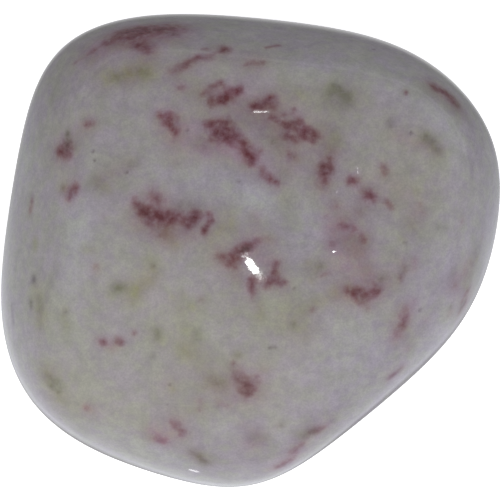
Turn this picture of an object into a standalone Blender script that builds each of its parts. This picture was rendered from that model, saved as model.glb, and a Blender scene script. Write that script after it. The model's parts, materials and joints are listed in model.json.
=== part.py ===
"""A tumbled stone: one piece of milky quartz, 35 mm across, worn smooth all over.

The stone is a pebble with worn flats. Seen from above, its outline is eight sides of
a broken chunk with their corners worn round. A dome closes it above and below, broad
flanks are worn into the dome, and crisper flats meet at the summit. The stone rests on
one small flat spot.

Each flat is given by the way it faces and by its distance from the heart of the
stone. Flats are worn into each other by an exponent: the lower it is, the rounder
the edge between them.
"""

import math
from typing import NamedTuple

import bmesh
import bpy
from mathutils import Vector

MM = 0.001


class Flat(NamedTuple):
    """A flat face of the chunk, before its edges were worn."""

    bearing: float  # degrees, the way it faces seen from above, from +X towards +Y
    rise: float  # degrees by which it faces upwards, or downwards if negative
    distance: float  # mm from the heart of the stone


# The sides, from the back round by the left. Together they give the outline from above.
SIDES = (
    Flat(84, 6, 15.3),
    Flat(120, 0, 18.4),
    Flat(171, 7, 16.0),
    Flat(-148, -4, 18.7),
    Flat(-106, 5, 17.4),
    Flat(-51, -7, 14.9),
    Flat(-10, 3, 17.8),
    Flat(42, -5, 18.5),
)
SIDE_WEAR = 9.9  # exponent

# The dome over the sides, and the rounder one under them
DOME_ABOVE = 14.3  # mm, how high the dome alone would reach over the heart
DOME_BELOW = 9.8
DOME_WEAR = 2.3  # exponent, just over the 2 of a plain ellipsoid

FLANKS = (
    Flat(176, 47, 14.1),
    Flat(-48, 62, 13.3),
    Flat(-100, 60, 12.7),
    Flat(40, -58, 12.4),
    Flat(160, -56, 12.2),
    Flat(-85, -60, 11.9),
)
FLANK_WEAR = 13.0  # exponent

# The nearly level top, and the slopes that run down from it all round
SUMMIT = (
    Flat(27, 86.8, 10.2),
    Flat(-135, 74.5, 10.6),
    Flat(90, 72.7, 13.5),
    Flat(7, 72.5, 13.5),
    Flat(136, 84.5, 10.3),
    Flat(-51, 79.6, 11.4),
)
SUMMIT_WEAR = 31.0  # exponent, high, because the summit's edges are the freshest

REST_DEPTH = 0.15  # mm worn off the lowest point, which leaves the flat spot
SNAP = 0.005  # mm, points this near the flat spot's plane are put on it
SPHERE_STEPS = 5  # the mesh starts as a ball of 5120 triangles

QUARTZ_GREY = (0.27, 0.25, 0.255, 1.0)
POLISH_ROUGHNESS = 0.12


def facing(flat):
    """The way a flat faces, as a vector one long."""
    bearing, rise = math.radians(flat.bearing), math.radians(flat.rise)
    return Vector(
        (
            math.cos(rise) * math.cos(bearing),
            math.cos(rise) * math.sin(bearing),
            math.sin(rise),
        )
    )


def worn_together(shares, wear):
    """The largest of some shares, with the step from one to the next worn round."""
    return sum(share**wear for share in shares) ** (1 / wear)


def shares_of(flats, direction):
    """For each flat, the share of its distance that 1 mm in this direction covers."""
    return [max(0.0, direction.dot(facing(flat))) / flat.distance for flat in flats]


def reach(direction):
    """The distance in mm from the heart to the surface, in a direction one long."""
    sides = worn_together(shares_of(SIDES, direction), SIDE_WEAR)
    dome_height = DOME_ABOVE if direction.z > 0 else DOME_BELOW
    pebble = worn_together([sides, abs(direction.z) / dome_height], DOME_WEAR)
    flanked = worn_together([pebble, *shares_of(FLANKS, direction)], FLANK_WEAR)
    return 1 / worn_together([flanked, *shares_of(SUMMIT, direction)], SUMMIT_WEAR)


def worn_chunk():
    """The stone round its heart, in mm, still without its flat spot."""
    mesh = bmesh.new()
    bmesh.ops.create_icosphere(mesh, subdivisions=SPHERE_STEPS, radius=1.0)
    for vert in mesh.verts:
        direction = vert.co.normalized()
        vert.co = direction * reach(direction)
    return mesh


def wear_flat_spot(mesh):
    """Takes the lowest point off level, and closes the cut."""
    level = min(vert.co.z for vert in mesh.verts) + REST_DEPTH
    cut = bmesh.ops.bisect_plane(
        mesh,
        geom=mesh.verts[:] + mesh.edges[:] + mesh.faces[:],
        dist=SNAP,
        plane_co=(0, 0, level),
        plane_no=(0, 0, -1),
        use_snap_center=True,
        clear_outer=True,
    )
    rim = [piece for piece in cut["geom_cut"] if isinstance(piece, bmesh.types.BMEdge)]
    bmesh.ops.edgeloop_fill(mesh, edges=rim)
    bmesh.ops.recalc_face_normals(mesh, faces=mesh.faces[:])


def stand_on_origin(mesh):
    """Moves the stone so that the middle of its box's underside is the origin, in metres."""
    low, high = (
        [pick(vert.co[axis] for vert in mesh.verts) for axis in range(3)]
        for pick in (min, max)
    )
    foot = Vector(((low[0] + high[0]) / 2, (low[1] + high[1]) / 2, low[2]))
    for vert in mesh.verts:
        vert.co = (vert.co - foot) * MM


def quartz():
    """The stone's material: grey-white quartz with a polish."""
    material = bpy.data.materials.new("milky_quartz")
    material.use_nodes = True
    shader = material.node_tree.nodes["Principled BSDF"]
    shader.inputs["Base Color"].default_value = QUARTZ_GREY
    shader.inputs["Roughness"].default_value = POLISH_ROUGHNESS
    shader.inputs["Metallic"].default_value = 0.0
    return material


def make_stone():
    """The stone, standing on the origin."""
    mesh = worn_chunk()
    wear_flat_spot(mesh)
    stand_on_origin(mesh)
    data = bpy.data.meshes.new("stone")
    mesh.to_mesh(data)
    mesh.free()
    data.materials.append(quartz())
    data.shade_smooth()
    stone = bpy.data.objects.new("stone", data)
    bpy.context.scene.collection.objects.link(stone)
    return stone


def main():
    """Clears the scene and makes the stone."""
    for old in list(bpy.data.objects):
        bpy.data.objects.remove(old)
    make_stone()


main()
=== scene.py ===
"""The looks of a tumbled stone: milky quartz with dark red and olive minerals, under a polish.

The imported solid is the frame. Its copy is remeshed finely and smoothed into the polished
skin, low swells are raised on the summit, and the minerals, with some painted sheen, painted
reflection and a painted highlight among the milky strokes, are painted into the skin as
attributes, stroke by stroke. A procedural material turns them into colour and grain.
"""

from __future__ import annotations

import json
import logging
import math
import random
from dataclasses import dataclass, field
from enum import Enum
from typing import Any

import bpy
import numpy as np
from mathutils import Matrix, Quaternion, Vector, kdtree, noise

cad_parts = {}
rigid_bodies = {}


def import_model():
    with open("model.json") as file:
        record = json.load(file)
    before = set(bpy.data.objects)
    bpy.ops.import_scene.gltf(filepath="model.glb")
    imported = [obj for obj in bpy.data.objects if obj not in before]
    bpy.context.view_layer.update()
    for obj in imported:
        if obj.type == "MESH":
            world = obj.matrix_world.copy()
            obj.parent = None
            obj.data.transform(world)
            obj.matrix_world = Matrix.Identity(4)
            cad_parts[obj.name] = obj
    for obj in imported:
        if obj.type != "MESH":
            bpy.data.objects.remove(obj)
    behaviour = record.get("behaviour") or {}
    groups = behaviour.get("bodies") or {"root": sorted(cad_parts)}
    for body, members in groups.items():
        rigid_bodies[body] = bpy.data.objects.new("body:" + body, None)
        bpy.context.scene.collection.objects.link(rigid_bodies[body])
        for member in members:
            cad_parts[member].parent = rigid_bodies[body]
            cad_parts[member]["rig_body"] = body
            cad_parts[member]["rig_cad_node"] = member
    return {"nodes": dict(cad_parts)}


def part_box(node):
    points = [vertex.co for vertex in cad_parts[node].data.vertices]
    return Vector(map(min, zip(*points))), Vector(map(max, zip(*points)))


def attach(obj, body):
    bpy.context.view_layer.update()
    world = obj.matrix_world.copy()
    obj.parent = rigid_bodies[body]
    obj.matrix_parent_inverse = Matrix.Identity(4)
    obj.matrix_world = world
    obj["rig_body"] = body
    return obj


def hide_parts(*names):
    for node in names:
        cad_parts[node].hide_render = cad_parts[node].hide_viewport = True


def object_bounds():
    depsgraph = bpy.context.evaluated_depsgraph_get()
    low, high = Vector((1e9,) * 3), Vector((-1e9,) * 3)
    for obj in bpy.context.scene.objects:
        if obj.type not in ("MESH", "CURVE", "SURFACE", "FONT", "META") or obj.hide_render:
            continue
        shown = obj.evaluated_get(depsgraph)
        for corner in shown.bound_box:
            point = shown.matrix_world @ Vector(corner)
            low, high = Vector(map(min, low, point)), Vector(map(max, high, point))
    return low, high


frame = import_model()
CAD_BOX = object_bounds()

LOG = logging.getLogger("tumbled_stone")
MM = 0.001
TINY = 1e-12  # m², the least a streak's squared length counts as, so nothing is divided by 0
Colour = tuple[float, float, float]


class Mineral(Enum):
    """What a stroke is made of, or for some milk strokes the painted light they stand for. The value
    names its attribute on the skin.
    """

    RED = "red"  # dark red grains
    PINK = "pink"  # the haze that red leaves in the quartz round it
    OLIVE = "olive"  # a greenish yellow haze
    BROWN = "brown"  # dark olive-brown grains
    GREY = "grey"  # grey-black and violet grains
    SPECK = "speck"  # single black grains
    MILK_AND_SHEEN = "milk_and_sheen"  # whiter, bluish quartz, and painted sheen, reflection and highlight where it lies on the rims and the summit
    BEIGE = "beige"  # faintly yellow quartz


@dataclass(frozen=True)
class Stroke:
    """A stroke of mineral between two places on the upper side."""

    column: float  # pixels of the photo, which is 500 by 500
    row: float
    to_column: float
    to_row: float
    width: float  # mm, across the stroke where it is half as strong
    strength: float  # 0 to 1


def strokes_of(*rows: tuple[float, ...]) -> tuple[Stroke, ...]:
    """Strokes and round spots of one mineral.

    Args:
        rows: For a stroke, the six values of its class in their order. For a spot, the same
            without the place where it ends.

    Returns:
        The strokes. A spot is a stroke that ends where it starts.
    """
    return tuple(Stroke(*row[:2], *row[-4:]) for row in rows)


RED_STROKES = strokes_of(
    # The long bank left of the middle
    (136, 203, 141, 210, 0.56, 0.65), (137, 206, 0.34, 0.5), (141, 210, 148, 214, 0.59, 0.6),
    (147, 214, 168, 217, 0.77, 1.0), (147, 221, 152, 223, 0.38, 0.6), (168, 217, 180, 220, 0.53, 0.8),
    (151, 193, 159, 198, 0.59, 0.45), (157, 200, 157, 212, 0.5, 0.15), (164, 222, 162, 234, 0.84, 0.3),
    (196, 216, 188, 225, 0.5, 0.85), (180, 220, 196, 216, 0.59, 0.55), (197, 214, 208, 214, 0.5, 0.4),
    (209, 215, 210, 221, 0.36, 0.5), (210, 221, 205, 230, 0.34, 0.65), (204.5, 231, 0.42, 0.9),
    (135, 197, 0.36, 0.35),
    # The bank under the back edge of the summit
    (201, 94, 210, 87, 0.34, 0.4), (210, 87, 220, 82, 0.34, 0.55), (220, 82, 227, 90, 0.34, 0.5),
    (213, 101, 222, 99, 0.67, 0.9), (222, 98, 232, 94, 0.59, 0.8), (233, 93, 240, 89, 0.42, 0.8),
    (239, 90, 0.34, 0.6),
    # Left of it
    (161, 115, 169, 120, 0.59, 0.8), (168, 113, 175, 118, 0.42, 0.45), (168, 121, 175, 131, 0.48, 0.65),
    (180, 129, 0.38, 0.25),
    # The largest bank, and its tail down to the right
    (204, 122, 208, 125, 0.34, 0.5), (212, 124, 225, 122, 0.56, 0.6), (217, 128, 224, 134, 0.85, 1.0),
    (228, 124, 232, 134, 0.59, 0.7), (215, 136, 230, 138, 0.59, 0.6), (231, 135, 241, 143, 0.59, 0.6),
    (243, 147, 251, 152, 0.59, 0.7), (248, 152, 249, 158, 0.64, 0.85), (249, 162, 0.47, 0.55),
    (260, 151, 0.34, 0.4), (241, 143, 244, 147, 0.5, 0.5),
    # Between the two highlights of the back edge
    (254, 105, 272, 101, 0.73, 0.5), (269.5, 99, 0.34, 0.85), (255, 106, 0.39, 0.5),
    (265.5, 101.5, 0.39, 0.5), (270, 116, 283, 122, 0.34, 0.55), (284, 113.5, 0.34, 0.6),
    (293, 110.5, 0.34, 0.6),
    # Right of them
    (288, 124, 300, 121, 0.5, 0.75), (288, 135, 0.7, 0.85), (262, 106, 272, 107, 0.7, 0.45),
    (300, 135, 305, 134, 0.59, 0.5), (295, 139, 302, 136, 0.42, 0.45), (303, 126, 314, 132, 0.39, 0.6),
    (305, 135, 318, 135.5, 0.48, 0.5), (312.5, 140.5, 0.36, 0.65), (292, 126, 303, 131, 0.56, 0.5),
    (286, 153, 290, 155, 0.34, 0.4), (293.5, 157.5, 0.42, 0.5),
    # The upright one
    (329.5, 157, 0.47, 0.5), (327.5, 165.5, 0.59, 0.95), (322, 168.5, 0.5, 0.7),
    (324, 172, 323, 182, 0.67, 0.7),
    # A string of grains
    (261, 167.5, 0.34, 0.7), (261, 173, 0.47, 0.45), (267, 177.5, 0.48, 0.65),
    (272, 180, 276, 182, 0.47, 0.7),
    # Right of the upright one
    (350.5, 180, 355.5, 180, 0.56, 0.85), (366.5, 194, 371.5, 198, 0.67, 0.85),
    (383, 166, 385, 172, 0.47, 0.6), (386, 201, 392, 208, 0.42, 0.5), (420, 203, 424, 212, 0.42, 0.3),
    # The ring of haze
    (339, 225, 344, 225, 0.42, 0.45), (349, 227, 353, 229, 0.42, 0.5), (360, 237, 362, 241, 0.48, 0.5),
    (330.5, 243, 0.45, 0.45),
    # The row under the summit's right corner
    (349, 290, 353, 292, 0.56, 0.9), (359.5, 292, 361, 298, 0.56, 0.85), (366, 296, 374, 293, 0.5, 0.6),
    (374, 292, 378, 290, 0.42, 0.75), (367, 308, 0.34, 0.45), (353, 298, 362, 303, 0.42, 0.3),
    # Round the main highlight
    (221, 257, 233, 263, 0.64, 0.55), (233, 262, 236, 253, 0.73, 0.8), (236, 254, 246, 247, 0.59, 0.9),
    (246, 247, 257, 241, 0.45, 0.65), (257, 241, 268, 239, 0.42, 0.3),
    (250, 279.5, 259, 279.5, 0.36, 0.8), (251.5, 281, 253, 289, 0.48, 0.9),
    (253, 290, 253, 300, 0.34, 0.2), (275, 263, 274, 275, 0.56, 0.6), (272, 277, 268, 283, 0.6, 0.9),
    (274, 281, 281, 284, 0.47, 0.5), (285, 281.5, 0.36, 0.5),
    # The slanting streak on the right
    (405, 311, 398, 333, 0.73, 0.4), (404, 316, 402, 324, 0.47, 0.45), (405, 268, 400, 280, 0.53, 0.4),
    # Below the middle
    (238, 376, 245, 386, 0.64, 0.7), (244, 386, 249, 391, 0.67, 0.85), (250, 378, 257, 376, 0.39, 0.45),
    (250, 388, 257, 382, 0.39, 0.4), (243, 393, 244, 400, 0.42, 0.25), (232, 363, 0.47, 0.5),
    # Two near the front edge
    (171, 422, 176, 425, 0.42, 0.55), (176, 425, 183, 431, 0.42, 0.5), (180, 434, 0.36, 0.5),
    (157, 438, 163, 440.5, 0.53, 0.45),
    # Left of the long bank
    (60, 148, 69, 145, 0.7, 0.5), (60, 152, 68, 154, 0.7, 0.55), (62, 149, 67, 151, 0.56, 0.45),
    (86, 124, 91, 124, 0.45, 0.6), (74.5, 188, 70, 195, 0.65, 0.75),
    # Along the back rim
    (75, 62, 93, 51, 0.45, 0.3), (93, 51, 110, 41, 0.5, 0.35), (110, 41, 126, 34, 0.59, 0.5),
    (126, 33, 145, 29, 0.84, 0.85), (145, 29, 162, 30, 0.73, 0.8), (162, 29, 174, 27, 0.5, 0.45),
    (138, 46, 147, 50, 0.59, 0.6), (130, 38, 140, 44, 0.56, 0.4), (173, 70, 186, 64, 0.53, 0.55),
    (186, 64, 198, 58, 0.53, 0.6), (198, 58, 209, 57, 0.47, 0.5), (209, 57, 221, 51, 0.36, 0.35),
    (223, 50, 0.39, 0.85), (203, 49, 206, 49, 0.34, 0.45), (178, 87, 183, 88, 0.39, 0.45),
    (246, 64, 254, 64, 0.39, 0.5), (262, 61, 0.34, 0.4), (266, 47, 278, 45, 0.34, 0.5),
    (433, 86, 437, 88, 0.47, 0.7), (446, 93, 453, 100, 0.56, 0.8), (439, 89, 446, 93, 0.4, 0.3),
    (405.5, 92.5, 0.34, 0.9),
    # Rose grains on the left front
    (103.5, 342.5, 0.53, 0.7), (117.5, 340, 120.5, 341, 0.53, 0.7), (133.5, 333, 0.48, 0.5),
    (32, 199, 30, 211, 0.5, 0.5), (94.5, 266.5, 0.45, 0.45), (87, 407, 0.45, 0.3),
    # The right rim
    (455, 285, 0.45, 0.45), (467, 290, 461, 302, 0.47, 0.4), (464, 304, 460, 310, 0.56, 0.4),
    # The front rim
    (310, 432, 319, 429, 0.61, 0.4), (319, 429, 326, 425, 0.42, 0.3), (293, 451, 301, 444, 0.47, 0.45),
    (276, 467, 290, 460, 0.53, 0.45), (390, 376, 400, 368, 0.47, 0.45),
    # Single faint grains
    (312, 309.5, 0.39, 0.45), (322, 275, 0.39, 0.4), (329, 273, 0.34, 0.3), (104, 217, 0.45, 0.2),
    (336, 205, 0.42, 0.25), (325, 215, 0.42, 0.25), (362, 211, 0.42, 0.25), (462, 221, 0.45, 0.3),
    (482, 237, 0.45, 0.3),
    # Wide dark patches, the widest along the back rim, which is seen edge on
    (118, 38, 132, 32, 1.6, 0.25), (129, 33, 166, 28, 2.2, 0.74), (136, 44, 150, 46, 1.3, 0.3),
    (64, 150, 1.2, 0.45), (71, 191, 0.8, 0.3), (222, 131, 1.0, 0.3), (223, 49, 0.9, 0.6),
    (262, 62, 1.0, 0.25), (372, 283, 0.9, 0.3), (437, 88, 453, 101, 1.5, 0.25),
    (280, 465, 296, 452, 1.0, 0.25), (467, 290, 462, 308, 1.2, 0.15),
)

PINK_STROKES = strokes_of(
    (138, 209, 205, 220, 1.5, 0.35), (160, 222, 163, 234, 1.25, 0.35), (150, 194, 162, 199, 1.12, 0.3),
    (203, 94, 238, 92, 1.38, 0.4), (163, 116, 176, 132, 1.12, 0.35), (171, 140, 0.88, 0.35),
    (212, 126, 235, 140, 1.7, 0.4), (240, 146, 252, 160, 1.38, 0.4), (203, 146, 1.12, 0.4),
    (255, 105, 272, 101, 1.25, 0.4), (288, 126, 314, 137, 1.88, 0.45), (289, 146, 296, 160, 1.12, 0.25),
    (329, 156, 323, 182, 1.38, 0.5), (260, 168, 277, 183, 1, 0.35), (353, 180, 1.12, 0.35),
    (369, 196, 1.25, 0.35), (332, 224, 345, 222, 0.75, 0.4), (345, 223, 362, 236, 0.75, 0.45),
    (362, 238, 360, 252, 0.75, 0.35), (330, 230, 330, 246, 0.75, 0.4), (342, 262, 358, 272, 1.5, 0.4),
    (346, 288, 376, 295, 1.25, 0.4), (220, 257, 240, 250, 1.5, 0.4), (250, 244, 262, 258, 1.25, 0.4),
    (228, 262, 236, 276, 1, 0.35), (251, 280, 253, 292, 1, 0.3), (274, 266, 280, 284, 1.25, 0.35),
    (262, 238, 273, 240, 0.62, 0.35), (405, 310, 397, 335, 1.12, 0.5), (414, 260, 413, 268, 0.5, 0.5),
    (238, 378, 254, 392, 1.62, 0.45), (237, 370, 0.56, 0.4), (173, 422, 183, 434, 1, 0.5),
    (155, 438, 164, 441, 0.75, 0.85), (150, 430, 158, 436, 0.62, 0.35), (64, 150, 1.88, 0.45),
    (76, 128, 84, 124, 0.9, 0.25), (75, 188, 70, 196, 1.2, 0.4), (90, 50, 170, 30, 1.75, 0.35),
    (173, 70, 215, 55, 1.25, 0.35), (98, 339, 112, 347, 0.5, 0.5), (112, 347, 120, 341, 0.5, 0.4),
    (432, 86, 455, 102, 1.12, 0.4), (450, 312, 0.62, 0.5), (455, 281, 468, 271, 1.2, 0.35),
    (455, 290, 468, 298, 1.25, 0.3), (461, 312, 469, 296, 1.3, 0.35), (413, 299, 0.5, 0.3),
    (425, 320, 0.5, 0.3), (305, 436, 325, 425, 1.25, 0.35), (278, 466, 300, 446, 1, 0.4),
    (390, 376, 400, 368, 0.88, 0.4), (407, 349, 0.5, 0.3), (95, 271, 0.5, 0.4), (87, 407, 0.56, 0.8),
    (92, 410, 0.75, 0.3), (199, 400, 0.5, 0.5), (195, 454, 202, 460, 0.9, 0.35), (200, 408, 0.5, 0.45),
    (219, 402, 226, 404, 0.5, 0.6), (243, 425, 0.62, 0.3), (255, 430, 0.62, 0.25),
    (278, 425, 0.62, 0.25), (201, 298, 0.5, 0.35),
    # Broad hazes round the banks
    (118, 33, 178, 28, 1.2, 0.55), (181, 86, 0.9, 0.3), (225, 47, 0.7, 0.3), (255, 62, 1.0, 0.3),
    (275, 46, 0.6, 0.25), (186, 128, 1.4, 0.3), (165, 126, 0.9, 0.3), (215, 143, 1.3, 0.35),
    (240, 110, 270, 118, 1.6, 0.35), (275, 130, 285, 160, 2.0, 0.35), (332, 205, 0.9, 0.3),
    (357, 212, 0.9, 0.35), (340, 232, 350, 250, 1.9, 0.5), (368, 278, 385, 280, 1.3, 0.45),
    (140, 224, 190, 232, 1.3, 0.45), (335, 292, 350, 302, 1.0, 0.25), (90, 125, 1.0, 0.25),
    (62, 188, 0.9, 0.25), (260, 437, 1.2, 0.35), (438, 90, 456, 104, 1.2, 0.35),
    (100, 50, 150, 36, 2.4, 0.5), (140, 44, 150, 52, 1.0, 0.6), (150, 36, 172, 35, 1.8, 0.4),
    (250, 62, 1.8, 0.3), (130, 75, 140, 62, 1.2, 0.25), (86, 126, 1.0, 0.35), (66, 188, 0.9, 0.35),
    (100, 178, 130, 163, 1.0, 0.25), (50, 375, 1.0, 0.3), (228, 148, 246, 158, 1.2, 0.35),
    (203, 146, 1.5, 0.3), (172, 120, 182, 145, 1.6, 0.35), (338, 208, 0.9, 0.3),
    (352, 242, 358, 258, 1.3, 0.35), (400, 262, 1.0, 0.25), (470, 262, 0.9, 0.3),
    (152, 428, 174, 434, 0.9, 0.4), (212, 384, 236, 396, 1.6, 0.35), (263, 370, 1.0, 0.35),
    (251, 443, 1.2, 0.35), (170, 383, 1.4, 0.3), (380, 175, 400, 190, 1.4, 0.25),
    (395, 135, 435, 148, 0.9, 0.3), (465, 269, 1.2, 0.3), (152, 198, 162, 216, 1.2, 0.3),
    (255, 215, 256, 226, 0.8, 0.3), (350, 237, 0.8, 0.3), (415, 210, 0.8, 0.3), (365, 298, 1.0, 0.35),
    (246, 386, 1.1, 0.4),
)

OLIVE_STROKES = strokes_of(
    (106, 77, 150, 71, 1.26, 0.5), (112, 77, 146, 72, 0.8, 0.4), (330, 88, 350, 95, 1.38, 0.35),
    (152, 262, 150, 278, 1.03, 0.5), (150, 276, 136, 290, 0.92, 0.4), (137, 286, 133, 299, 0.92, 0.6),
    (36, 290, 40, 318, 1.26, 0.5), (65, 308, 65, 325, 0.57, 0.4), (48, 374, 58, 395, 1.49, 0.55),
    (118, 288, 130, 287, 0.92, 0.4), (110, 295, 0.5, 0.3), (85, 250, 93, 250, 0.5, 0.35),
    (35, 239, 35, 248, 0.5, 0.4), (171.5, 298, 0.5, 0.35), (183, 295, 0.5, 0.35), (193, 307, 0.57, 0.5),
    (180, 310, 0.5, 0.35), (184, 350, 0.92, 0.6), (179, 353, 0.5, 0.4), (190, 355, 0.5, 0.4),
    (184, 332, 196, 358, 1.84, 0.4), (154, 333, 160, 338, 1.15, 0.35), (237, 354, 0.5, 0.4),
    (425, 137, 440, 152, 1.15, 0.35), (307, 262.5, 0.5, 0.4), (311, 280, 0.57, 0.4),
    (316, 300, 0.5, 0.35), (305, 310, 345, 290, 0.8, 0.35), (260, 305, 258, 317, 0.57, 0.4),
    (282, 313, 302, 332, 1.84, 0.4), (413, 226, 0.5, 0.35), (415, 192, 0.5, 0.35),
    (195, 454, 203, 461, 1.0, 0.25), (229, 215, 231, 226, 0.8, 0.45), (222, 226, 213, 240, 0.8, 0.45),
    (167, 233, 174, 243, 0.92, 0.6), (212, 382, 219, 382, 0.92, 0.5), (267, 469, 0.5, 0.3),
    (172, 388, 0.57, 0.4), (98, 185, 108, 188, 0.69, 0.35), (63, 187, 0.57, 0.3), (300, 95, 0.92, 0.35),
    (336, 138, 333, 147, 0.8, 0.35), (175, 162, 0.8, 0.25), (283, 199, 0.8, 0.25), (402, 238, 0.5, 0.3),
    (468, 285, 0.57, 0.4), (476, 258, 0.57, 0.4), (66, 188, 1.0, 0.3), (317, 268, 1.0, 0.45),
    (395, 325, 408, 340, 1.4, 0.3), (414, 222, 1.0, 0.35), (180, 415, 200, 408, 1.4, 0.35),
)

BROWN_STROKES = strokes_of(
    (113, 77, 119, 77, 0.58, 0.3), (138, 72, 143, 72, 0.51, 0.3), (333, 85, 337, 87, 0.43, 0.65),
    (337, 89, 345, 95, 0.5, 0.6), (330, 92, 0.4, 0.35), (348, 97, 0.5, 0.3), (152.5, 266, 0.32, 0.6),
    (30.5, 302, 30.5, 305, 0.41, 0.7), (39, 298, 39, 308, 0.61, 0.45), (66, 311, 0.32, 0.6),
    (49, 377, 57, 382, 0.87, 0.5), (51, 386.5, 0.32, 0.8), (58, 391, 0.38, 0.5),
    (115, 288, 120, 287, 0.65, 0.65), (157, 331, 157, 337, 0.58, 0.45),
    (196, 332, 196, 338, 0.58, 0.45), (152, 356, 0.32, 0.5), (201, 298, 0.38, 0.4),
    (235, 354, 239, 354, 0.41, 0.35), (426, 137, 431, 142, 0.58, 0.7), (437, 149, 0.52, 0.6),
    (388, 120, 390, 126, 0.38, 0.5), (321, 267, 0.41, 0.35), (293, 325, 0.41, 0.6),
    (195, 454, 203, 461, 0.8, 0.55), (203, 461, 0.43, 0.6), (64, 66, 51, 100, 0.6, 0.14),
    (212, 381, 218, 383, 0.72, 0.3), (67, 133, 0.45, 0.6), (66.5, 144, 0.4, 0.45),
    (71, 139, 75, 146, 0.8, 0.35), (62.5, 187, 0.5, 0.45), (92, 186, 106, 188, 1.0, 0.15),
    (173, 34, 0.43, 0.4), (457, 104, 0.38, 0.5), (405, 268, 400, 280, 0.43, 0.25),
    (382, 278, 0.49, 0.4), (397, 347, 0.43, 0.3), (281, 425, 0.32, 0.4), (131, 165, 0.41, 0.3),
    (437, 227, 0.38, 0.4), (445, 228, 0.35, 0.35), (450, 306, 0.41, 0.4), (273, 141, 0.32, 0.6),
    (302, 435, 311, 431, 0.75, 0.5),
    # Faint dusky hazes
    (210, 94, 1.0, 0.2), (272, 128, 285, 160, 2.2, 0.18), (330, 130, 328, 165, 1.8, 0.22),
    (316, 267, 1.0, 0.25), (370, 280, 385, 276, 1.2, 0.15), (150, 230, 200, 228, 1.2, 0.18),
    (95, 186, 1.3, 0.18), (66, 140, 1.0, 0.16), (212, 378, 232, 388, 2.2, 0.18),
    (165, 408, 200, 400, 2.0, 0.16), (62, 320, 68, 345, 1.3, 0.15), (52, 366, 1.2, 0.15),
    (75, 380, 1.0, 0.15), (402, 325, 1.6, 0.12), (412, 230, 1.2, 0.16), (432, 232, 1.2, 0.14),
    (430, 85, 455, 108, 1.2, 0.18), (178, 26, 228, 24, 1.6, 0.12), (455, 102, 462, 112, 1.4, 0.2),
    (250, 62, 1.6, 0.12), (120, 72, 145, 62, 1.5, 0.12), (100, 178, 130, 163, 1.0, 0.1),
    (178, 206, 192, 208, 0.9, 0.32), (203, 144, 0.9, 0.3), (316, 160, 330, 180, 1.4, 0.15),
    (354, 240, 1.2, 0.2), (35, 242, 0.9, 0.2), (92, 250, 1.1, 0.15), (361, 209, 1.0, 0.3),
    (337, 236, 1.0, 0.15), (392, 292, 1.4, 0.1), (236, 366, 1.2, 0.15), (251, 443, 1.2, 0.1),
    (476, 252, 470, 272, 1.5, 0.3), (452, 278, 464, 284, 1.3, 0.2), (480, 272, 1.4, 0.15),
    (453, 271, 0.5, 0.25), (480, 270, 481, 300, 1.2, 0.13), (190, 25, 201, 24, 0.9, 0.15),
    (216, 52, 234, 62, 1.2, 0.15), (222, 131, 0.9, 0.2), (185, 205, 0.9, 0.2), (65, 145, 0.8, 0.2),
    (363, 208, 0.8, 0.2),
)

GREY_STROKES = strokes_of(
    (33.5, 277, 33.5, 280, 0.38, 0.7), (11, 306, 13, 322, 0.41, 0.4), (332, 98, 345, 101, 1.22, 0.2),
    (243, 250, 249, 248, 0.38, 0.5), (460, 308, 465, 300, 0.46, 0.35), (462, 312, 474, 292, 1.4, 0.22),
    (333, 420, 0.43, 0.3), (254, 436, 262, 438, 0.94, 0.3), (390, 376, 400, 368, 0.41, 0.25),
    (218, 406, 0.41, 0.25),
    # Faint violet hazes
    (238, 110, 1.6, 0.14), (245, 120, 270, 125, 2.2, 0.14), (330, 98, 1.6, 0.14), (375, 46, 1.0, 0.12),
    (354, 95, 1.8, 0.12), (180, 92, 205, 108, 1.6, 0.1), (425, 100, 1.6, 0.08), (354, 252, 1.4, 0.1),
)

SPECK_STROKES = strokes_of(
    (410.5, 132.5, 0.26, 0.75), (125.5, 172, 0.26, 0.75), (93, 151, 0.26, 0.65), (94, 160, 0.26, 0.6),
    (237, 181, 0.26, 0.75), (187, 130, 0.26, 0.55), (373, 49, 0.26, 0.75), (14, 343, 0.26, 0.45),
    (405, 242, 0.26, 0.65), (196, 20, 0.26, 0.5), (122, 300, 0.26, 0.45), (133, 304, 0.26, 0.45),
    (294, 288, 0.26, 0.55), (269, 347, 0.26, 0.65), (275, 346, 0.26, 0.65), (168.5, 384, 0.26, 0.65),
    (60, 418, 0.26, 0.45), (166, 404, 0.26, 0.45), (420, 310, 0.26, 0.65),
)

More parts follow.
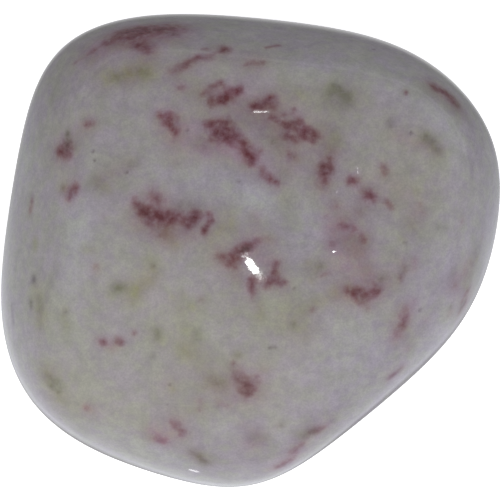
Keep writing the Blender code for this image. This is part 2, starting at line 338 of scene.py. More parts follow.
# Whiter, bluish quartz, partly painted light: the pale streak down the left flank is painted sheen, the
# pale bands along the front rims and the lower right are painted reflection, and the small spot at
# columns 252 to 264, rows 199 to 201 is a painted highlight.
MILK_AND_SHEEN_STROKES = strokes_of(
    (72, 200, 76, 345, 1.6, 0.25), (335, 345, 415, 410, 4.5, 0.25), (250, 200, 2.0, 0.2),
    (325, 235, 2.0, 0.2), (155, 175, 255, 165, 2.4, 0.175), (72, 200, 80, 232, 2.0, 0.3),
    (200, 178, 2.4, 0.225), (240, 182, 264, 200, 1.6, 0.35), (312, 212, 308, 236, 1.8, 0.25),
    (310, 66, 400, 72, 2.0, 0.25), (350, 330, 425, 350, 3.0, 0.15), (225, 425, 1.6, 0.175),
    (280, 435, 1.2, 0.25), (275, 309, 1.4, 0.3), (100, 425, 190, 465, 1.3, 0.3),
    (252, 199, 264, 200, 1.1, 0.5), (254, 201, 0.35, 0.5), (130, 335, 205, 332, 1.8, 0.16),
    (270, 299, 0.9, 0.2), (270, 440, 1.3, 0.2), (105, 430, 140, 422, 1.8, 0.15), (158, 111, 0.9, 0.25),
    (340, 400, 352, 390, 2.0, 0.15), (350, 266, 1.2, 0.2), (30, 105, 24, 165, 2.4, 0.35),
    (100, 52, 115, 62, 1.6, 0.2), (214, 128, 246, 142, 0.9, 0.2), (344, 180, 1.2, 0.25),
    (290, 452, 322, 430, 1.4, 0.25), (372, 203, 0.9, 0.2), (448, 256, 446, 298, 1.0, 0.2),
    (181, 30, 0.9, 0.25), (272, 305, 1.2, 0.15), (345, 265, 1.0, 0.12), (32, 108, 30, 160, 1.6, 0.15),
    (200, 330, 1.4, 0.12), (120, 425, 1.4, 0.12),
)

BEIGE_STROKES = strokes_of(
    (150, 330, 240, 370, 6.0, 0.45), (110, 300, 150, 400, 4.0, 0.3), (290, 320, 330, 300, 3.0, 0.35),
    (225, 305, 265, 315, 2.5, 0.6), (165, 305, 190, 315, 2.0, 0.7), (90, 405, 140, 415, 2.4, 0.7),
    (62, 320, 75, 395, 3.0, 0.8), (75, 395, 130, 420, 3.0, 0.8), (400, 200, 440, 190, 3.0, 0.5),
    (360, 100, 420, 170, 4.0, 0.35), (200, 90, 215, 100, 2.0, 0.5), (280, 90, 320, 110, 2.5, 0.6),
)

STROKES: dict[Mineral, tuple[Stroke, ...]] = {
    Mineral.RED: RED_STROKES,
    Mineral.PINK: PINK_STROKES,
    Mineral.OLIVE: OLIVE_STROKES,
    Mineral.BROWN: BROWN_STROKES,
    Mineral.GREY: GREY_STROKES,
    Mineral.SPECK: SPECK_STROKES,
    Mineral.MILK_AND_SHEEN: MILK_AND_SHEEN_STROKES,
    Mineral.BEIGE: BEIGE_STROKES,
}


def deselect_all() -> None:
    """Leaves object mode with nothing selected."""
    if bpy.context.object and bpy.context.object.mode != "OBJECT":
        bpy.ops.object.mode_set(mode="OBJECT")
    bpy.ops.object.select_all(action="DESELECT")


def make_active(thing: bpy.types.Object) -> None:
    """Selects one object alone, and makes it the active one.

    Args:
        thing: The object.
    """
    deselect_all()
    thing.select_set(True)
    bpy.context.view_layer.objects.active = thing


def apply_modifier(thing: bpy.types.Object, kind: str, **settings: float | str | bool) -> None:
    """Adds a modifier to an object and applies it.

    Args:
        thing: The object.
        kind: The modifier's type, in Blender's own words.
        settings: The modifier's settings by name.
    """
    make_active(thing)
    modifier = thing.modifiers.new(kind.title(), kind)
    for name, value in settings.items():
        setattr(modifier, name, value)
    bpy.ops.object.modifier_apply(modifier=modifier.name)


def points_of(thing: bpy.types.Object) -> np.ndarray:
    """The vertices of a mesh object.

    Args:
        thing: The object.

    Returns:
        Their places in metres, one row each.
    """
    points = np.empty(len(thing.data.vertices) * 3, np.float32)
    thing.data.vertices.foreach_get("co", points)
    return points.reshape(-1, 3).astype(float)


@dataclass(frozen=True)
class PhotoView:
    """The camera's view: straight down, with the stone across the whole picture."""

    picture: float = 500.0  # pixels each way
    stone_width: float = 499.0  # pixels, the stone's longest way
    middle: float = 249.5  # pixels, the middle of the stone's box each way
    height: float = 0.3  # m, from the floor to the camera
    rim_height: float = 0.0096  # m, where the stone is widest
    sensor: float = 36.0  # mm
    nearest: float = 0.01  # m, where the camera starts to see

    @property
    def rim_distance(self) -> float:
        """The distance in m from the camera down to the stone's widest level."""
        return self.height - self.rim_height

    @property
    def pixel(self) -> float:
        """The size in m of one pixel at the stone's widest level."""
        return (CAD_BOX[1].x - CAD_BOX[0].x) / self.stone_width

    @property
    def lens(self) -> float:
        """The focal length in mm that fits the stone to the picture."""
        return self.sensor * self.rim_distance / (self.pixel * self.picture)

    def pixels_of(self, points: np.ndarray) -> np.ndarray:
        """Where places are seen in the photo.

        Args:
            points: Places in metres, one row each.

        Returns:
            Columns and rows in pixels, one pair each.
        """
        nearer = self.rim_distance / (self.height - points[:, 2]) / self.pixel
        return np.stack(
            [self.middle + points[:, 0] * nearer, self.middle - points[:, 1] * nearer], -1
        )

    def make_camera(self) -> None:
        """Adds the camera over the stone."""
        deselect_all()
        bpy.ops.object.camera_add(location=(0, 0, self.height), rotation=(0, 0, 0))
        camera = bpy.context.object
        camera.name = "camera"
        camera.data.sensor_width = self.sensor
        camera.data.lens = self.lens
        camera.data.clip_start = self.nearest
        bpy.context.scene.camera = camera


def direction_of(bearing: float, elevation: float) -> Vector:
    """The direction towards a place in the sky.

    Args:
        bearing: Degrees from +X towards +Y, seen from above.
        elevation: Degrees over the floor.

    Returns:
        The direction, one long.
    """
    bearing, elevation = math.radians(bearing), math.radians(elevation)
    flat = math.cos(elevation)
    return Vector((flat * math.cos(bearing), flat * math.sin(bearing), math.sin(elevation)))


@dataclass(frozen=True)
class Lamp:
    """A soft light that aims at the stone."""

    name: str
    bearing: float  # degrees from +X towards +Y, seen from above
    elevation: float  # degrees over the floor
    distance: float  # m
    width: float  # m
    length: float  # m
    turn: float  # degrees from +X, the way its width runs seen from the stone
    radiance: float

    def add(self) -> None:
        """Adds the lamp to the scene."""
        towards = direction_of(self.bearing, self.elevation)
        deselect_all()
        bpy.ops.object.light_add(type="AREA", location=towards * self.distance)
        lamp = bpy.context.object
        lamp.name = self.name
        turn = Quaternion(towards, math.radians(self.turn))
        lamp.rotation_euler = (turn @ Vector((0, 0, 1)).rotation_difference(towards)).to_euler()
        lamp.data.shape = "RECTANGLE"
        lamp.data.size = self.width
        lamp.data.size_y = self.length
        lamp.data.energy = self.radiance * math.pi * self.width * self.length


class Recipe:
    """The nodes of one material or sky, wired up as they are added."""

    NOISE_ROUGHNESS = 0.55  # how strong each finer layer of a noise is beside the last
    MIX_FIRST, MIX_SECOND, MIX_RESULT = 6, 7, 2  # the colour sockets of a Mix node

    def __init__(self, tree: bpy.types.NodeTree) -> None:
        """Starts on a tree."""
        self.tree = tree

    def add(self, kind: str, inputs: dict[str | int, Any], **settings: str | bool) -> bpy.types.Node:
        """Adds a node.

        Args:
            kind: The node's type, without the words ShaderNode.
            inputs: For each input by name or number, the socket that feeds it or its value.
            settings: The node's settings by name.

        Returns:
            The node.
        """
        node = self.tree.nodes.new("ShaderNode" + kind)
        for name, value in settings.items():
            setattr(node, name, value)
        for name, value in inputs.items():
            self.feed(node.inputs[name], value)
        return node

    def feed(self, socket: bpy.types.NodeSocket, value: Any) -> None:
        """Links a socket to the one that feeds it, or sets its value.

        Args:
            socket: The socket.
            value: The socket that feeds it, or its value.
        """
        if isinstance(value, bpy.types.NodeSocket):
            self.tree.links.new(value, socket)
        else:
            socket.default_value = value

    def number(self, operation: str, first: Any, second: Any = 0.0) -> bpy.types.NodeSocket:
        """Works out one number from two."""
        return self.add("Math", {0: first, 1: second}, operation=operation).outputs[0]

    def noise(self, place: Any, size: float, detail: float = 2.0) -> bpy.types.NodeSocket:
        """Soft random clouds.

        Args:
            place: Where, in metres.
            size: The size of the largest clouds in mm.
            detail: How many times they break up into smaller ones.

        Returns:
            A number round 0.5 everywhere.
        """
        inputs = {
            "Vector": place,
            "Scale": 1 / (size * MM),
            "Detail": detail,
            "Roughness": self.NOISE_ROUGHNESS,
        }
        return self.add("TexNoise", inputs).outputs["Fac"]

    def spread(
        self,
        value: Any,
        low: float,
        high: float,
        to_low: float = 0.0,
        to_high: float = 1.0,
        way: str = "SMOOTHSTEP",
    ) -> bpy.types.NodeSocket:
        """Brings a range of numbers to another.

        Args:
            value: The number.
            low: Where the range starts.
            high: Where it ends.
            to_low: What the start becomes.
            to_high: What the end becomes.
            way: How the numbers between go, in Blender's own words.

        Returns:
            The number in its new range.
        """
        inputs = {"Value": value, 1: low, 2: high, 3: to_low, 4: to_high}
        node = self.add("MapRange", inputs, interpolation_type=way)
        return node.outputs["Result"]

    def mix(self, first: Any, second: Any, share: Any, blend: str = "MIX") -> bpy.types.NodeSocket:
        """Mixes two colours.

        Args:
            first: The first colour.
            second: The second colour.
            share: How much of the second, 0 to 1.
            blend: The way of mixing, in Blender's own words.

        Returns:
            The mixed colour.
        """
        node = self.add("Mix", {0: share}, data_type="RGBA", blend_type=blend)
        self.feed(node.inputs[self.MIX_FIRST], first)
        self.feed(node.inputs[self.MIX_SECOND], second)
        return node.outputs[self.MIX_RESULT]


@dataclass(frozen=True)
class Glow:
    """A broad soft brightness in the sky."""

    bearing: float  # degrees from +X towards +Y
    elevation: float  # degrees over the floor
    colour: Colour
    sharpness: float = 6.0  # the power that its cosine is raised to

    def add(self, recipe: Recipe, direction: Any, behind: Any) -> bpy.types.NodeSocket:
        """Adds the glow to what is behind it.

        Args:
            recipe: The sky's nodes.
            direction: The direction looked in.
            behind: The sky's colour so far.

        Returns:
            The sky's colour with the glow.
        """
        towards = direction_of(self.bearing, self.elevation)
        facing = recipe.add("VectorMath", {0: direction, 1: towards}, operation="DOT_PRODUCT")
        front = recipe.number("MAXIMUM", facing.outputs["Value"], 0.0)
        light = recipe.number("POWER", front, self.sharpness)
        scaled = recipe.add("VectorMath", {0: self.colour, "Scale": light}, operation="SCALE")
        return recipe.add("VectorMath", {0: behind, 1: scaled.outputs[0]}).outputs[0]


@dataclass
class Studio:
    """The floor, the lamps and the sky round the stone."""

    floor_size: float = 3.0  # m
    floor_colour: Colour = (0.9, 0.9, 0.9)
    floor_glow: float = 0.6  # what keeps it pale in the picture
    floor_roughness: float = 0.9
    bounce_colour: Colour = (0.28, 0.28, 0.28)  # the floor's, as it lights the stone
    bounce_before: Colour = (0.91, 0.95, 1.02)  # its glow before the stone
    bounce_behind: Colour = (0.0, 0.0, 0.0)  # and behind it
    bounce_bearing: float = 87.0  # degrees from +X towards +Y, the way that is behind
    bounce_fade: float = 0.02  # m, from the middle to where each is full
    close_before: Colour = (0.09, 0.09, 0.09)  # its glow close before the stone
    close_behind: Colour = (0.5, 0.5, 0.5)  # and close behind it
    close: tuple[float, float] = (0.0165, 0.022)  # m, where the closest glow fades out
    far: tuple[float, float] = (0.02, 0.22)  # m, where the floor fades into the sky
    sky_ground: Colour = (0.37, 0.35, 0.37)  # the sky's colour between its glows
    glows: tuple[Glow, ...] = (
        Glow(-150, 25, (1.38, 1.48, 1.56)),
        Glow(-90, 25, (0.68, 0.66, 0.7)),
        Glow(-30, 25, (0.64, 0.62, 0.8)),
        Glow(30, 25, (0.82, 0.96, 1.04)),
        Glow(90, 25, (0.46, 0.46, 0.46)),
        Glow(-90, 60, (0.58, 0.57, 0.45)),
    )
    lamps: tuple[Lamp, ...] = (
        Lamp("glint", -131.8, 89.562, 0.33, 0.0086, 0.0109, 28, 50.0),  # over the summit
        Lamp("rim_glint", -103.5, 3.15, 0.0363, 0.0012, 0.0018, -13.5, 5.5),  # low at the front
    )

    def build(self) -> None:
        """Adds the floor, the lamps and the sky, and sets how light becomes colour."""
        self.make_floor()
        for lamp in self.lamps:
            lamp.add()
        self.make_sky()
        bpy.context.scene.view_settings.view_transform = "Standard"

    def make_floor(self) -> None:
        """Adds the plain pale floor under the stone."""
        deselect_all()
        bpy.ops.mesh.primitive_plane_add(size=self.floor_size, location=(0, 0, 0))
        floor = bpy.context.object
        floor.name = "floor"
        material = bpy.data.materials.new("pale_floor")
        material.use_nodes = True
        shader = material.node_tree.nodes["Principled BSDF"]
        recipe = Recipe(material.node_tree)
        seen = recipe.add("LightPath", {}).outputs["Is Camera Ray"]
        colour = recipe.mix((*self.bounce_colour, 1), (*self.floor_colour, 1), seen)
        glow = recipe.mix(self.bounce(recipe), (self.floor_glow,) * 3 + (1,), seen)
        recipe.feed(shader.inputs["Base Color"], colour)
        recipe.feed(shader.inputs["Emission Color"], glow)
        shader.inputs["Emission Strength"].default_value = 1.0
        shader.inputs["Roughness"].default_value = self.floor_roughness
        shader.inputs["Specular IOR Level"].default_value = 0.0
        floor.data.materials.append(material)

    def bounce(self, recipe: Recipe) -> bpy.types.NodeSocket:
        """The floor's light on the stone, as under a lamp at the front.

        There is much of it before the stone and little behind. Far away the floor is as
        bright as the sky over it.

        Args:
            recipe: The floor's nodes.

        Returns:
            The light's colour.
        """
        place = recipe.add("TexCoord", {}).outputs["Object"]
        backwards = direction_of(self.bounce_bearing, 0)
        across = recipe.add("VectorMath", {0: place, 1: backwards}, operation="DOT_PRODUCT")
        behind = recipe.spread(across.outputs["Value"], -self.bounce_fade, self.bounce_fade)
        broad = recipe.mix((*self.bounce_before, 1), (*self.bounce_behind, 1), behind)
        close = recipe.mix((*self.close_before, 1), (*self.close_behind, 1), behind)
        # Places equally far away lie on a square with round corners, like the stone's outline
        squares = recipe.add("VectorMath", {0: place, 1: place}, operation="MULTIPLY").outputs[0]
        length = recipe.add("VectorMath", {0: squares}, operation="LENGTH").outputs["Value"]
        away = recipe.number("SQRT", length)
        near = recipe.mix(close, broad, recipe.spread(away, *self.close))
        outwards = recipe.add("VectorMath", {0: place}, operation="NORMALIZE").outputs[0]
        return recipe.mix(near, self.sky_light(recipe, outwards), recipe.spread(away, *self.far))

    def make_sky(self) -> None:
        """Lights the stone softly from all round, least from the back."""
        world = bpy.data.worlds.new("sky")
        bpy.context.scene.world = world
        world.use_nodes = True
        recipe = Recipe(world.node_tree)
        direction = recipe.add("TexCoord", {}).outputs["Generated"]
        light = self.sky_light(recipe, direction)
        recipe.feed(world.node_tree.nodes["Background"].inputs["Color"], light)

    def sky_light(self, recipe: Recipe, direction: Any) -> Any:
        """The sky's colour in a direction.

        Args:
            recipe: The nodes it is made in.
            direction: The direction looked in.

        Returns:
            The colour.
        """
        light = self.sky_ground
        for glow in self.glows:
            light = glow.add(recipe, direction, light)
        return light


@dataclass(frozen=True)
class Swell:
    """A low swell of the surface, raised along a row of vertices."""

    row: tuple[tuple[float, float], ...]  # mm, the corners of its ridge seen from above
    radius: float  # mm, how far from the ridge the surface rises with it
    height: float  # mm

    def ridge(self, step: float) -> list[tuple[float, float]]:
        """The places along the ridge.

        Args:
            step: The distance from one to the next in mm.

        Returns:
            The places seen from above, in mm.
        """
        places = [self.row[-1]]
        for (x, y), (to_x, to_y) in zip(self.row, self.row[1:]):
            count = math.ceil(math.hypot(to_x - x, to_y - y) / step)
            for share in np.arange(count) / count:
                places.append((x + (to_x - x) * share, y + (to_y - y) * share))
        return places


@dataclass
class PolishedSkin:
    """The stone's finished surface, made from a copy of the solid."""

    node: str = "stone"
    voxel: float = 0.204 * MM
    smoothings: int = 45
    smoothing: float = 0.5  # the share of the way to its neighbours' middle that each takes
    merge: float = 1e-6  # m, vertices this near are joined
    name: str = "polished_stone"
    swells: tuple[Swell, ...] = (  # for the small highlights, from the back to the right
        Swell(((0.143, 9.672), (0.479, 9.786), (1.321, 9.625)), 0.696, 0.051),
        Swell(((7.72, 5.503), (7.375, 5.976)), 0.768, 0.0515),
        Swell(((6.13, 4.157), (6.146, 4.069)), 0.72, 0.039),
        Swell(((6.036, 0.086), (6.177, -0.229)), 0.72, 0.0432),
    )

    def build(self) -> bpy.types.Object:
        """Makes the skin.

        Returns:
            The skin, at the solid's place.
        """
        skin = self.copy_solid()
        apply_modifier(skin, "REMESH", mode="VOXEL", voxel_size=self.voxel)
        apply_modifier(skin, "SMOOTH", factor=self.smoothing, iterations=self.smoothings)
        self.fill_box(skin)
        for swell in self.swells:
            self.raise_swell(skin, swell)
        make_active(skin)
        bpy.ops.object.shade_smooth()
        skin.data.materials.clear()
        return skin

    def raise_swell(self, skin: bpy.types.Object, swell: Swell) -> None:
        """Raises one swell on the upper side, by proportional editing.

        Args:
            skin: The skin.
            swell: The swell.
        """
        points = points_of(skin)
        upper = np.flatnonzero(points[:, 2] > points[:, 2].max() / 2)
        make_active(skin)
        bpy.ops.object.mode_set(mode="EDIT")
        bpy.ops.mesh.select_all(action="DESELECT")
        bpy.ops.object.mode_set(mode="OBJECT")
        for x, y in swell.ridge(self.voxel / MM):
            away = np.hypot(points[upper, 0] - x * MM, points[upper, 1] - y * MM)
            skin.data.vertices[upper[away.argmin()]].select = True
        bpy.ops.object.mode_set(mode="EDIT")
        bpy.ops.transform.translate(
            value=(0, 0, swell.height * MM),
            use_proportional_edit=True,
            proportional_edit_falloff="SMOOTH",
            proportional_size=swell.radius * MM,
        )
        bpy.ops.object.mode_set(mode="OBJECT")

    def copy_solid(self) -> bpy.types.Object:
        """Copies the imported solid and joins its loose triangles.

        Returns:
            The copy, free of the frame.
        """
        make_active(frame["nodes"][self.node])
        bpy.ops.object.duplicate()
        skin = bpy.context.object
        skin.name = skin.data.name = self.name
        bpy.ops.object.parent_clear(type="CLEAR_KEEP_TRANSFORM")
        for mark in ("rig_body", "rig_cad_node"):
            del skin[mark]
        bpy.ops.object.mode_set(mode="EDIT")
        bpy.ops.mesh.select_all(action="SELECT")
        bpy.ops.mesh.remove_doubles(threshold=self.merge)
        bpy.ops.object.mode_set(mode="OBJECT")
        return skin

    def fill_box(self, skin: bpy.types.Object) -> None:
        """Grows the skin back to the solid's box, which smoothing left a little.

        Args:
            skin: The skin.
        """
        low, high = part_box(self.node)
        points = points_of(skin)
        grown = [(high[i] - low[i]) / np.ptp(points[:, i]) for i in range(3)]
        make_active(skin)
        bpy.ops.object.mode_set(mode="EDIT")
        bpy.ops.mesh.select_all(action="SELECT")
        bpy.ops.transform.resize(value=grown, center_override=(0, 0, 0))
        bpy.ops.object.mode_set(mode="OBJECT")
        points = points_of(skin)
        shift = [
            (low[0] + high[0] - points[:, 0].min() - points[:, 0].max()) / 2,
            (low[1] + high[1] - points[:, 1].min() - points[:, 1].max()) / 2,
            low[2] - points[:, 2].min(),
        ]
        bpy.ops.object.mode_set(mode="EDIT")
        bpy.ops.transform.translate(value=shift)
        bpy.ops.object.mode_set(mode="OBJECT")


@dataclass(frozen=True)
class Streak:
    """A stroke of mineral on the stone itself."""

    start: np.ndarray  # m
    end: np.ndarray  # m
    width: float  # m
    strength: float  # 0 to 1
    softness: float = 1.6  # the power of its fade, 2 for a bell

    def over(self, points: np.ndarray) -> np.ndarray:
        """How strongly the streak covers each point.

        Args:
            points: The points in metres, one row each.

        Returns:
            Its strength at each, 0 to 1.
        """
        along = self.end - self.start
        offset = points - self.start
        share = np.clip(offset @ along / max(along @ along, TINY), 0, 1)
        away = np.linalg.norm(offset - share[:, None] * along, axis=1)
        return self.strength * 0.5 ** ((away / (self.width / 2)) ** self.softness)


@dataclass(frozen=True)
class Bank:
    """Minerals that lie together, for the sides and the underside."""

    share: float  # how common such banks are
    minerals: tuple[Mineral, ...]
    strokes: tuple[int, int]  # the fewest and the most of each mineral
    gap: float  # mm, the most from one stroke's end to the next one's start
    length: tuple[float, float]  # mm
    width: tuple[float, float]  # mm
    strength: tuple[float, float]


BANKS = (
    Bank(0.3, (Mineral.RED,), (2, 7), 0.5, (0.1, 1.0), (0.36, 0.8), (0.35, 0.9)),
    Bank(0.12, (Mineral.PINK,), (1, 4), 0.6, (0.3, 1.4), (0.8, 1.8), (0.25, 0.45)),
    Bank(0.14, (Mineral.OLIVE,), (1, 4), 0.8, (0.2, 1.4), (0.5, 1.6), (0.3, 0.55)),
    Bank(0.1, (Mineral.OLIVE, Mineral.BROWN), (1, 3), 0.4, (0.1, 0.6), (0.35, 0.8), (0.4, 0.6)),
    Bank(0.14, (Mineral.SPECK,), (1, 2), 0.9, (0.0, 0.1), (0.26, 0.28), (0.5, 0.8)),
    Bank(0.1, (Mineral.MILK_AND_SHEEN,), (1, 2), 1.0, (1.0, 3.0), (1.6, 3.0), (0.15, 0.3)),
    Bank(0.1, (Mineral.BEIGE,), (1, 2), 1.0, (1.0, 3.0), (2.0, 4.0), (0.4, 0.7)),
)


@dataclass
class HiddenSide:
    """The minerals of the sides and the underside, strewn as thickly as on the upper side."""

    normals: np.ndarray
    points: np.ndarray
    seed: int = 7
    banks: int = 110
    highest: float = 0.1  # how far upwards their places may face, 0 is level
    wander: float = 0.9  # radians, how much a bank turns from stroke to stroke
    halo: float = 2.2  # how much wider than red its pink haze is
    halo_strength: float = 0.5
    lower: np.ndarray = field(init=False)

    def __post_init__(self) -> None:
        """Finds the vertices of the sides and the underside."""
        self.lower = np.flatnonzero(self.normals[:, 2] < self.highest)

    def streaks(self) -> list[tuple[Mineral, Streak]]:
        """Strews the banks.

        Returns:
            Their streaks, each with its mineral.
        """
        dice = random.Random(self.seed)
        streaks = []
        for _ in range(self.banks):
            bank = dice.choices(BANKS, [kind.share for kind in BANKS])[0]
            middle = self.points[self.lower[dice.randrange(len(self.lower))]]
            for mineral in bank.minerals:
                for streak in self.vein(dice, bank, middle):
                    streaks.append((mineral, streak))
                    if mineral is Mineral.RED:
                        streaks.append((Mineral.PINK, self.halo_of(streak)))
        return streaks

    def vein(self, dice: random.Random, bank: Bank, middle: np.ndarray) -> list[Streak]:
        """Throws a wandering row of streaks over the surface.

        Args:
            dice: What throws them.
            bank: The kind of bank.
            middle: Where the first one starts, in metres.

        Returns:
            The streaks.
        """
        place = Vector(middle)
        heading = Vector([dice.gauss(0, 1) for _ in range(3)])
        vein = []
        for _ in range(dice.randint(*bank.strokes)):
            away = np.linalg.norm(self.points[self.lower] - np.array(place), axis=1)
            nearest = self.lower[away.argmin()]
            place = Vector(self.points[nearest])
            normal = Vector(self.normals[nearest])
            heading = (heading - normal * heading.dot(normal)).normalized()
            heading = Quaternion(normal, dice.gauss(0, self.wander)) @ heading
            end = place + heading * dice.uniform(*bank.length) * MM
            width, strength = dice.uniform(*bank.width) * MM, dice.uniform(*bank.strength)
            vein.append(Streak(np.array(place), np.array(end), width, strength))
            aside = Quaternion(normal, dice.uniform(0, math.tau)) @ heading
            place = end + aside * dice.uniform(0, bank.gap) * MM
        return vein

    def halo_of(self, streak: Streak) -> Streak:
        """The wide haze that lies round a streak."""
        width, strength = streak.width * self.halo, streak.strength * self.halo_strength
        return Streak(streak.start, streak.end, width, strength)


@dataclass
class MarkPainter:
    """Paints the minerals, and the painted sheen, reflection and highlight among the milk, into the
    skin, one attribute for each.
    """

    skin: bpy.types.Object
    view: PhotoView
    wave: float = 1.1 * MM  # the size of the noise that bends the strokes
    push: float = 0.1 * MM  # and how far it does
    neighbours: int = 4  # the vertices that a place on the stone is worked out from
    nearest: float = 0.01  # pixels, added to how far each is
    seed: int = 7  # of that noise, which would change from run to run without one
    points: np.ndarray = field(init=False)
    normals: np.ndarray = field(init=False)
    finder: kdtree.KDTree = field(init=False)

    def __post_init__(self) -> None:
        """Reads the skin's vertices and makes them findable by pixel."""
        self.points = points_of(self.skin)
        seen = self.view.pixels_of(self.points)
        normals = np.empty(len(self.points) * 3, np.float32)
        self.skin.data.vertices.foreach_get("normal", normals)
        self.normals = normals.reshape(-1, 3)
        upper = np.flatnonzero(self.normals[:, 2] > 0)
        self.finder = kdtree.KDTree(len(upper))
        for index in upper:
            self.finder.insert((*seen[index], 0), int(index))
        self.finder.balance()

    def place(self, column: float, row: float) -> np.ndarray:
        """The place on the upper side that a pixel shows.

        Args:
            column: The pixel's column in the photo.
            row: Its row.

        Returns:
            The place in metres.
        """
        near = self.finder.find_n((column, row, 0), self.neighbours)
        weights = np.array([1 / (away + self.nearest) for _, _, away in near])
        corners = self.points[[index for _, index, _ in near]]
        return weights @ corners / weights.sum()

    def on_stone(self, stroke: Stroke) -> Streak:
        """Puts a stroke of the photo on the stone."""
        return Streak(
            self.place(stroke.column, stroke.row),
            self.place(stroke.to_column, stroke.to_row),
            stroke.width * MM,
            stroke.strength,
        )

    def bent(self) -> np.ndarray:
        """Pushes the vertices about a little by noise, so that no stroke is straight.

        Returns:
            Their places for the painting, in metres, one row each.
        """
        noise.seed_set(self.seed)
        pushes = [noise.noise_vector(Vector(point) / self.wave) for point in self.points]
        return self.points + np.array(pushes) * self.push

    def paint(self) -> None:
        """Paints every mineral's strokes and stores them on the skin."""
        bent = self.bent()
        clear = {mineral: np.ones(len(self.points)) for mineral in Mineral}
        streaks = HiddenSide(self.normals, self.points).streaks()
        for mineral, strokes in STROKES.items():
            streaks += [(mineral, self.on_stone(stroke)) for stroke in strokes]
        for mineral, streak in streaks:
            clear[mineral] *= 1 - streak.over(bent)
        for mineral, rest in clear.items():
            attribute = self.skin.data.attributes.new(mineral.value, "FLOAT", "POINT")
            attribute.data.foreach_set("value", (1 - rest).astype(np.float32))
        LOG.info("painted %d streaks", len(streaks))


@dataclass(frozen=True)
class Stain:
    """How one mineral colours the quartz."""

    mineral: Mineral
    tint: Colour  # what it multiplies the quartz by
    raggedness: float = 0.0  # how far the crumbs break it up
    faintest: float = 0.0  # the share of mineral at which it begins to show
    fullest: float = 1.0  # and at which it is full

    def over(self, recipe: Recipe, crumbs: Any, quartz: Any) -> bpy.types.NodeSocket:
        """Stains the quartz.

        Args:
            recipe: The material's nodes.
            crumbs: The noise that breaks the mineral up, round 0.
            quartz: The colour so far.

        Returns:
            The stained colour.
        """
        share = recipe.add("Attribute", {}, attribute_name=self.mineral.value).outputs["Fac"]
        broken = recipe.number("MULTIPLY", crumbs, self.raggedness)
        broken = recipe.number("ADD", broken, 1.0)
        ragged = recipe.number("MULTIPLY", share, broken)
        amount = recipe.spread(ragged, self.faintest, self.fullest, way="LINEAR")
        return recipe.mix(quartz, (*self.tint, 1), amount, "MULTIPLY")


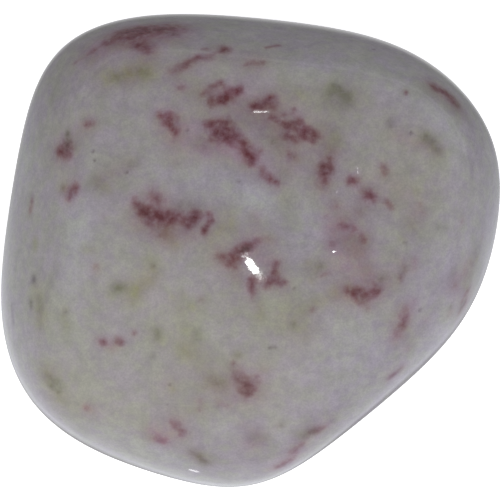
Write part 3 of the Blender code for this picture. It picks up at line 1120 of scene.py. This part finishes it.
@dataclass(frozen=True)
class MilkyQuartz:
    """The finish: milky quartz, its minerals and its polish."""

    ground: Colour = (0.2665, 0.250, 0.2455)
    lilac: Colour = (1.012, 0.972, 1.085)
    beige: Colour = (0.983, 1.028, 0.93)
    cloud_sizes: tuple[float, float] = (2.6, 0.8)  # mm, the patches of lilac and beige
    cloud_range: tuple[float, float] = (0.75, 1.25)  # of both noises, from lilac to beige
    cloud_detail: float = 3
    # Lighter and darker veils: the size in mm and the depth of each
    veils: tuple[tuple[float, float], ...] = ((3.2, 0.03), (1.0, 0.078), (0.4, 0.056), (0.13, 0.08))
    veil_range: tuple[float, float] = (0.25, 0.75)  # of the noise, from darkest to lightest
    crumb_size: float = 0.5  # mm, the pieces that the minerals break up into
    crumb_detail: float = 5
    stains: tuple[Stain, ...] = (
        # Lightens the milky quartz, and with it the painted sheen, reflection and highlight among the
        # milk strokes
        Stain(Mineral.MILK_AND_SHEEN, (1.22, 1.28, 1.36)),
        Stain(Mineral.BEIGE, (1.0, 1.0, 0.9)),
        Stain(Mineral.OLIVE, (0.84, 0.85, 0.48), 1.5),
        Stain(Mineral.PINK, (0.89, 0.67, 0.74), 1.5, 0.0, 0.8),
        Stain(Mineral.RED, (0.83, 0.6, 0.66), 1.2, 0.0, 0.75),
        Stain(Mineral.RED, (0.43, 0.14, 0.17), 2.8, 0.16, 1.2),
        Stain(Mineral.BROWN, (0.36, 0.37, 0.24), 2.0, 0.0, 1.0),
        Stain(Mineral.GREY, (0.3, 0.26, 0.3), 1.0, 0.0, 0.9),
        Stain(Mineral.SPECK, (0.25, 0.17, 0.17), 0.3, 0.15, 0.9),
    )
    ior: float = 1.54
    roughest: float = 0.09  # the polish where it is duller, in patches
    smoothest: float = 0.035
    patch_size: float = 1.5  # mm
    patch_range: tuple[float, float] = (0.3, 0.7)  # of the noise, from smooth to dull
    ripple_size: float = 0.9  # mm, the unevenness that the polish left
    ripple_height: float = 0.005  # mm

    def material(self) -> bpy.types.Material:
        """Makes the material.

        Returns:
            The material, which reads the skin's attributes.
        """
        material = bpy.data.materials.new("milky_quartz_polished")
        material.use_nodes = True
        shader = material.node_tree.nodes["Principled BSDF"]
        recipe = Recipe(material.node_tree)
        place = recipe.add("TexCoord", {}).outputs["Object"]
        colour = self.clear_quartz(recipe, place)
        crumbs = recipe.number("SUBTRACT", recipe.noise(place, self.crumb_size, self.crumb_detail), 0.5)
        for stain in self.stains:
            colour = stain.over(recipe, crumbs, colour)
        recipe.feed(shader.inputs["Base Color"], colour)
        patches = recipe.noise(place, self.patch_size, self.cloud_detail)
        dull = recipe.spread(patches, *self.patch_range, self.smoothest, self.roughest)
        recipe.feed(shader.inputs["Roughness"], dull)
        ripples = recipe.noise(place, self.ripple_size)
        bump = recipe.add("Bump", {"Height": ripples, "Distance": self.ripple_height * MM})
        recipe.feed(shader.inputs["Normal"], bump.outputs["Normal"])
        shader.inputs["IOR"].default_value = self.ior
        return material

    def clear_quartz(self, recipe: Recipe, place: Any) -> bpy.types.NodeSocket:
        """The quartz between the minerals: clouds of lilac and beige, veils and fine grain.

        Args:
            recipe: The material's nodes.
            place: The place on the stone.

        Returns:
            Its colour.
        """
        broad, small = (recipe.noise(place, size, self.cloud_detail) for size in self.cloud_sizes)
        clouds = recipe.spread(recipe.number("ADD", broad, small), *self.cloud_range)
        hue = recipe.mix((*self.lilac, 1), (*self.beige, 1), clouds)
        colour = recipe.mix((*self.ground, 1), hue, 1.0, "MULTIPLY")
        for size, depth in self.veils:
            veil = recipe.noise(place, size)
            shade = recipe.spread(veil, *self.veil_range, 1 - depth, 1 + depth)
            colour = recipe.mix(colour, shade, 1.0, "MULTIPLY")
        return colour


def main() -> None:
    """Builds the stone and its studio."""
    logging.basicConfig(level=logging.INFO, format="%(name)s: %(message)s")
    view = PhotoView()
    view.make_camera()
    Studio().build()
    skin = PolishedSkin().build()
    MarkPainter(skin, view).paint()
    skin.data.materials.append(MilkyQuartz().material())
    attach(skin, "root")
    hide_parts("stone")
    LOG.info("%s: %d faces", skin.name, len(skin.data.polygons))


if __name__ == "__main__":
    main()
